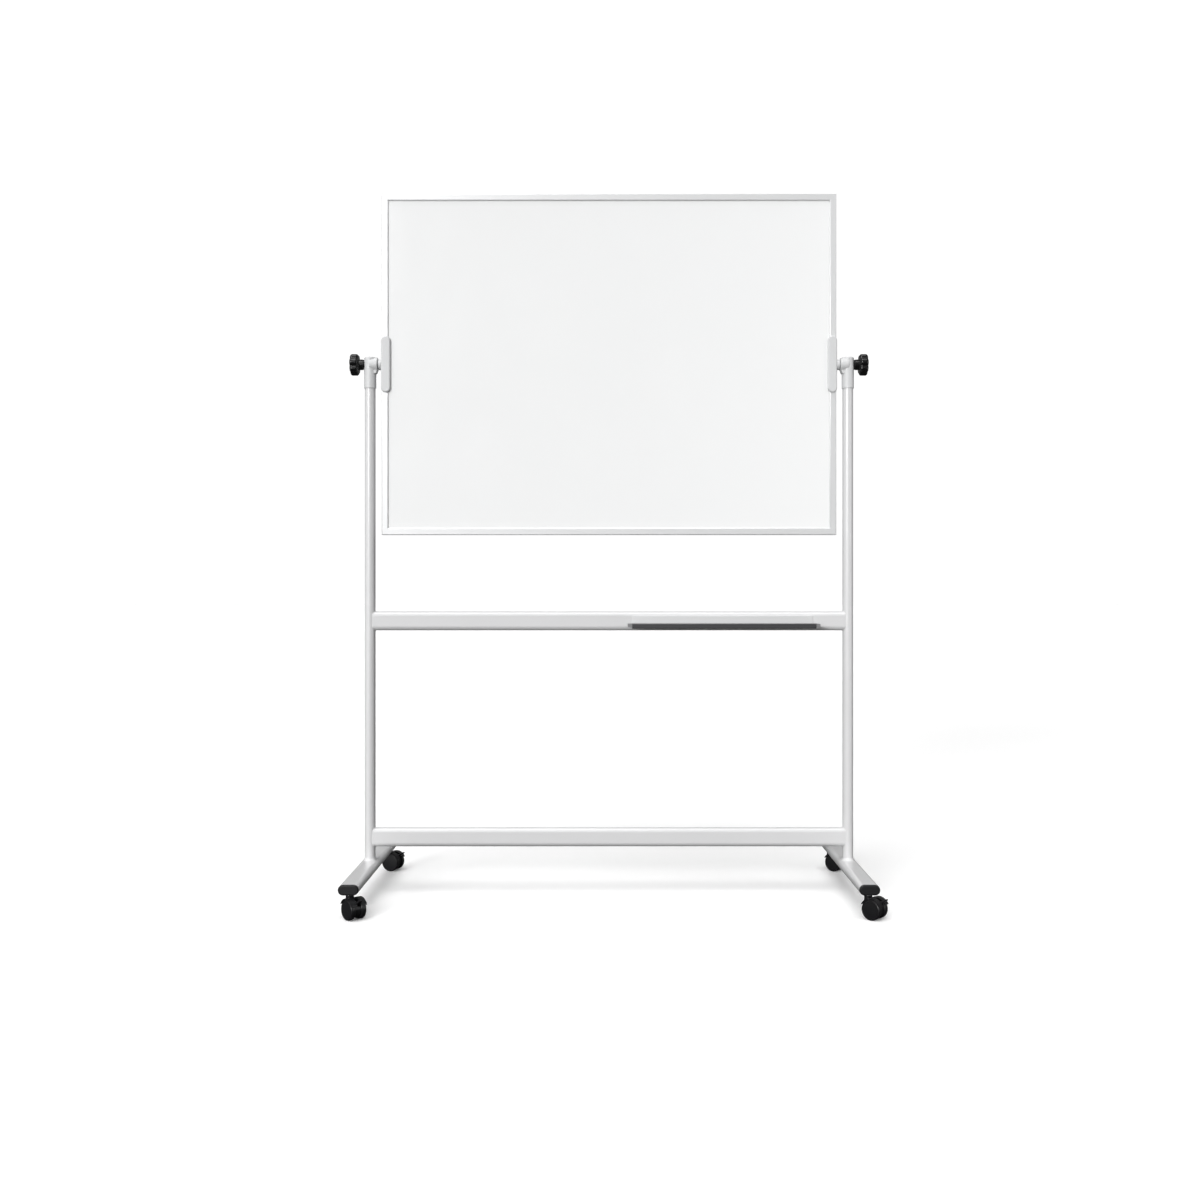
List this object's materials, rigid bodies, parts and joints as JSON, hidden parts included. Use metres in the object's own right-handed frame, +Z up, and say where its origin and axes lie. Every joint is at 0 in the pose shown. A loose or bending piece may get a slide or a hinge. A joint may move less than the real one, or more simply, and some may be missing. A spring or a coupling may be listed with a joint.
{
  "type": "rolling whiteboard",
  "caption": "Double-sided whiteboard that turns over between two posts on a wheeled stand, with clamping knobs and a magnetic pen tray.",
  "frame": {"origin": "on the floor, midway between the posts, on the plane through the posts' axes", "axes": "+Z up, +X to the right seen from the front, the viewer in front at -Y"},
  "size_m": [1.366, 0.6521, 1.844],
  "materials": {
    "grey_paint": "satin powder coat, light silver grey",
    "grey_plastic": "moulded, light grey",
    "black_plastic": "moulded, black, fine texture",
    "aluminium": "satin anodised extrusion",
    "white_enamel": "glossy white enamel",
    "honeycomb": "paper honeycomb, hidden",
    "hardware": "zinc plated",
    "tray_grey": "dark grey, satin",
    "mid_grey_plastic": "moulded, mid grey",
    "magnet": "ferrite, hidden",
    "caster_black": "moulded nylon, black",
    "wheel_black": "moulded nylon wheel, black"
  },
  "bodies": {
    "stand": {"left_post": "grey_paint", "right_post": "grey_paint", "left_foot": "grey_paint", "right_foot": "grey_paint", "middle_crossbar": "grey_paint", "lower_crossbar": "grey_paint", "left_post_head": "grey_plastic", "right_post_head": "grey_plastic", "foot_end_caps": "black_plastic", "bar_welds": "grey_paint", "foot_welds": "grey_paint", "caster_sockets": "black_plastic", "caster_stems": "hardware"},
    "board": {"front_sheet": "white_enamel", "rear_sheet": "white_enamel", "board_core": "honeycomb", "frame_top": "aluminium", "frame_bottom": "aluminium", "frame_right": "aluminium", "frame_left": "aluminium", "corner_keys": "hardware", "left_bracket_front": "grey_plastic", "right_bracket_front": "grey_plastic", "left_bracket_rear": "grey_plastic", "right_bracket_rear": "grey_plastic", "bracket_screws": "hardware", "left_pivot_hub": "grey_plastic", "right_pivot_hub": "grey_plastic"},
    "tray": {"tray_shelf": "tray_grey", "tray_back": "aluminium", "tray_magnets": "magnet", "tray_end_caps": "mid_grey_plastic"},
    "left_washer": {"left_knob_washer": "black_plastic"},
    "left_knob": {"left_knob_grip": "black_plastic", "left_knob_stud": "hardware"},
    "right_washer": {"right_knob_washer": "black_plastic"},
    "right_knob": {"right_knob_grip": "black_plastic", "right_knob_stud": "hardware"},
    "front_left_caster": {"front_left_housing": "caster_black", "front_left_axle": "hardware"},
    "front_left_left_wheel": {"front_left_wheel_a": "wheel_black"},
    "front_left_right_wheel": {"front_left_wheel_b": "wheel_black"},
    "front_left_brake_lever": {"front_left_brake": "caster_black"},
    "front_right_caster": {"front_right_housing": "caster_black", "front_right_axle": "hardware"},
    "front_right_left_wheel": {"front_right_wheel_a": "wheel_black"},
    "front_right_right_wheel": {"front_right_wheel_b": "wheel_black"},
    "front_right_brake_lever": {"front_right_brake": "caster_black"},
    "rear_left_caster": {"rear_left_housing": "caster_black", "rear_left_axle": "hardware"},
    "rear_left_left_wheel": {"rear_left_wheel_a": "wheel_black"},
    "rear_left_right_wheel": {"rear_left_wheel_b": "wheel_black"},
    "rear_left_brake_lever": {"rear_left_brake": "caster_black"},
    "rear_right_caster": {"rear_right_housing": "caster_black", "rear_right_axle": "hardware"},
    "rear_right_left_wheel": {"rear_right_wheel_a": "wheel_black"},
    "rear_right_right_wheel": {"rear_right_wheel_b": "wheel_black"},
    "rear_right_brake_lever": {"rear_right_brake": "caster_black"}
  },
  "joints": [
    {"name": "board_tilt", "type": "hinge", "parent": "stand", "child": "board", "pos_m": [0, 0, 1.394], "axis": [1, 0, 0], "continuous": true},
    {"name": "tray_slide", "type": "slide", "parent": "stand", "child": "tray", "axis": [1, 0, 0], "range_m": [-0.64, 0.045]},
    {"name": "left_knob_out", "type": "slide", "parent": "stand", "child": "left_washer", "axis": [-1, 0, 0], "range_m": [0, 0.00126]},
    {"name": "left_knob_turn", "type": "hinge", "parent": "left_washer", "child": "left_knob", "pos_m": [-0.6615, 0, 1.394], "axis": [-1, 0, 0], "range_deg": [0, 360]},
    {"name": "right_knob_out", "type": "slide", "parent": "stand", "child": "right_washer", "axis": [1, 0, 0], "range_m": [0, 0.00126]},
    {"name": "right_knob_turn", "type": "hinge", "parent": "right_washer", "child": "right_knob", "pos_m": [0.6615, 0, 1.394], "axis": [1, 0, 0], "range_deg": [0, 360]},
    {"name": "front_left_swivel", "type": "hinge", "parent": "stand", "child": "front_left_caster", "pos_m": [-0.6315, -0.29, 0.05], "axis": [0, 0, 1], "continuous": true},
    {"name": "front_left_left_wheel_spin", "type": "hinge", "parent": "front_left_caster", "child": "front_left_left_wheel", "pos_m": [-0.61946, -0.30338, 0.025], "axis": [0.7431, 0.6691, 0], "continuous": true},
    {"name": "front_left_right_wheel_spin", "type": "hinge", "parent": "front_left_caster", "child": "front_left_right_wheel", "pos_m": [-0.61946, -0.30338, 0.025], "axis": [0.7431, 0.6691, 0], "continuous": true},
    {"name": "front_left_brake_press", "type": "hinge", "parent": "front_left_caster", "child": "front_left_brake_lever", "pos_m": [-0.61276, -0.31081, 0.041], "axis": [0.7431, 0.6691, 0], "range_deg": [0, 18]},
    {"name": "front_right_swivel", "type": "hinge", "parent": "stand", "child": "front_right_caster", "pos_m": [0.6315, -0.29, 0.05], "axis": [0, 0, 1], "continuous": true},
    {"name": "front_right_left_wheel_spin", "type": "hinge", "parent": "front_right_caster", "child": "front_right_left_wheel", "pos_m": [0.64508, -0.30181, 0.025], "axis": [0.6561, 0.7547, 0], "continuous": true},
    {"name": "front_right_right_wheel_spin", "type": "hinge", "parent": "front_right_caster", "child": "front_right_right_wheel", "pos_m": [0.64508, -0.30181, 0.025], "axis": [0.6561, 0.7547, 0], "continuous": true},
    {"name": "front_right_brake_press", "type": "hinge", "parent": "front_right_caster", "child": "front_right_brake_lever", "pos_m": [0.65263, -0.30837, 0.041], "axis": [0.6561, 0.7547, 0], "range_deg": [0, 18]},
    {"name": "rear_left_swivel", "type": "hinge", "parent": "stand", "child": "rear_left_caster", "pos_m": [-0.6315, 0.29, 0.05], "axis": [0, 0, 1], "continuous": true},
    {"name": "rear_left_left_wheel_spin", "type": "hinge", "parent": "rear_left_caster", "child": "rear_left_left_wheel", "pos_m": [-0.61459, 0.28384, 0.025], "axis": [0.342, 0.9397, 0], "continuous": true},
    {"name": "rear_left_right_wheel_spin", "type": "hinge", "parent": "rear_left_caster", "child": "rear_left_right_wheel", "pos_m": [-0.61459, 0.28384, 0.025], "axis": [0.342, 0.9397, 0], "continuous": true},
    {"name": "rear_left_brake_press", "type": "hinge", "parent": "rear_left_caster", "child": "rear_left_brake_lever", "pos_m": [-0.60519, 0.28042, 0.041], "axis": [0.342, 0.9397, 0], "range_deg": [0, 18]},
    {"name": "rear_right_swivel", "type": "hinge", "parent": "stand", "child": "rear_right_caster", "pos_m": [0.6315, 0.29, 0.05], "axis": [0, 0, 1], "continuous": true},
    {"name": "rear_right_left_wheel_spin", "type": "hinge", "parent": "rear_right_caster", "child": "rear_right_left_wheel", "pos_m": [0.64606, 0.27942, 0.025], "axis": [0.5878, 0.809, 0], "continuous": true},
    {"name": "rear_right_right_wheel_spin", "type": "hinge", "parent": "rear_right_caster", "child": "rear_right_right_wheel", "pos_m": [0.64606, 0.27942, 0.025], "axis": [0.5878, 0.809, 0], "continuous": true},
    {"name": "rear_right_brake_press", "type": "hinge", "parent": "rear_right_caster", "child": "rear_right_brake_lever", "pos_m": [0.65415, 0.27354, 0.041], "axis": [0.5878, 0.809, 0], "range_deg": [0, 18]}
  ],
  "couplings": [
    {"joint": "left_knob_out", "follows": "left_knob_turn", "m_per_rad": 0.00019894},
    {"joint": "right_knob_out", "follows": "right_knob_turn", "m_per_rad": 0.00019894}
  ]
}
